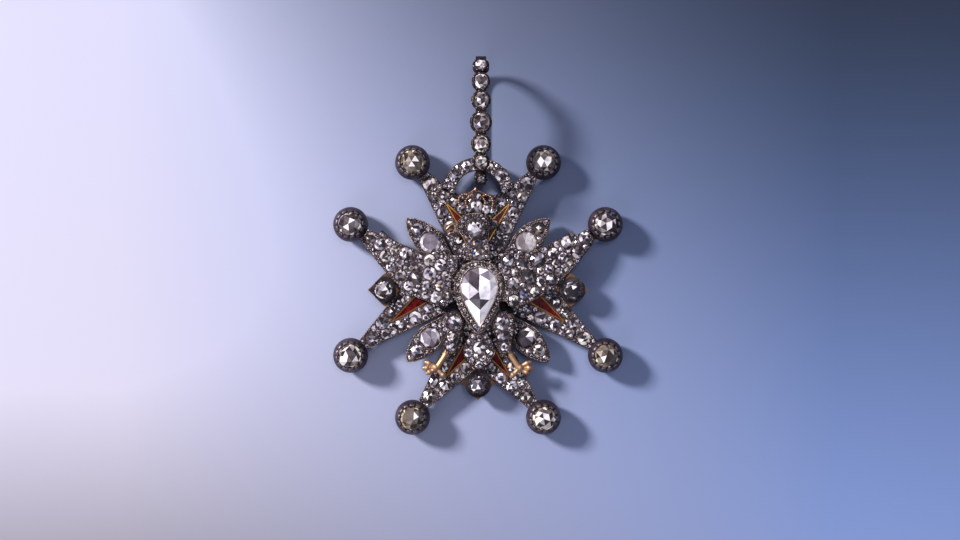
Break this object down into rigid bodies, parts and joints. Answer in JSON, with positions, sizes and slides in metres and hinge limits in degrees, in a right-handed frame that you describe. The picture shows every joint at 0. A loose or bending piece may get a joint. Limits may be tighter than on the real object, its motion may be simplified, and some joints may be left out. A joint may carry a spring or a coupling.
{
  "type": "order badge",
  "caption": "Diamond-set Maltese cross order badge with ball points, red enamel fields, a crowned eagle and an upright ribbon hoop.",
  "frame": {"origin": "on the surface that it lies on, under the middle of the whole badge with its hoop", "axes": "+Z out of the badge's face, +Y towards the hoop at its top, +X to the viewer's right"},
  "size_m": [0.0798, 0.1036, 0.0195],
  "materials": {
    "oxidised_silver": "old silver, darkened in the hollows and rubbed bright on the edges",
    "red_gold": "polished red gold with soft wear",
    "gold_edge": "bright thin gold edge",
    "gilt_back": "worn copper-coloured gilding",
    "red_enamel": "glossy translucent red enamel",
    "champagne_diamond": "rose cut, tinted yellow to brown",
    "main_diamond": "old cut, polished facets",
    "small_diamond": "small rose cuts, polished facets"
  },
  "bodies": {
    "badge": {"cross_frame": "oxidised_silver", "eagle_body": "oxidised_silver", "eagle_head": "oxidised_silver", "wing_left": "oxidised_silver", "wing_right": "oxidised_silver", "tail": "oxidised_silver", "thigh_left": "oxidised_silver", "thigh_right": "oxidised_silver", "notch_collet_left": "oxidised_silver", "notch_collet_bottom": "oxidised_silver", "notch_collet_right": "oxidised_silver", "ray_upper_left": "oxidised_silver", "ray_lower_left": "oxidised_silver", "ray_lower_right": "oxidised_silver", "ray_upper_right": "oxidised_silver", "beak": "red_gold", "crown": "red_gold", "foot_left": "red_gold", "foot_right": "red_gold", "tray_top": "gold_edge", "tray_left": "gold_edge", "tray_bottom": "gold_edge", "tray_right": "gold_edge", "notch_shield_left": "gilt_back", "notch_shield_bottom": "gilt_back", "notch_shield_right": "gilt_back", "enamel_top": "red_enamel", "enamel_left": "red_enamel", "enamel_bottom": "red_enamel", "enamel_right": "red_enamel", "ball_stone_top_left": "champagne_diamond", "ball_stone_top_right": "champagne_diamond", "ball_stone_left_upper": "champagne_diamond", "ball_stone_left_lower": "champagne_diamond", "ball_stone_bottom_left": "champagne_diamond", "ball_stone_bottom_right": "champagne_diamond", "ball_stone_right_lower": "champagne_diamond", "ball_stone_right_upper": "champagne_diamond", "pear_stone": "main_diamond", "ray_stone_upper_left": "main_diamond", "ray_stone_lower_left": "main_diamond", "ray_stone_lower_right": "main_diamond", "ray_stone_upper_right": "main_diamond", "notch_stone_left": "main_diamond", "notch_stone_bottom": "main_diamond", "notch_stone_right": "main_diamond", "frame_stones": "small_diamond", "ray_small_stones": "small_diamond", "wing_left_stones": "small_diamond", "wing_right_stones": "small_diamond", "eagle_stones": "small_diamond", "tail_stones": "small_diamond"},
    "ribbon_hoop": {"hoop": "oxidised_silver", "hoop_stone_1": "main_diamond", "hoop_stone_2": "main_diamond", "hoop_stone_3": "main_diamond", "hoop_stone_4": "main_diamond", "hoop_stone_5": "main_diamond", "hoop_stone_6": "main_diamond", "hoop_stone_7": "main_diamond"}
  },
  "joints": [
    {"name": "hoop_swing", "type": "hinge", "parent": "badge", "child": "ribbon_hoop", "pos_m": [0.0008, 0.02565, 0.009], "axis": [1, 0, 0], "range_deg": [0, 38]}
  ]
}
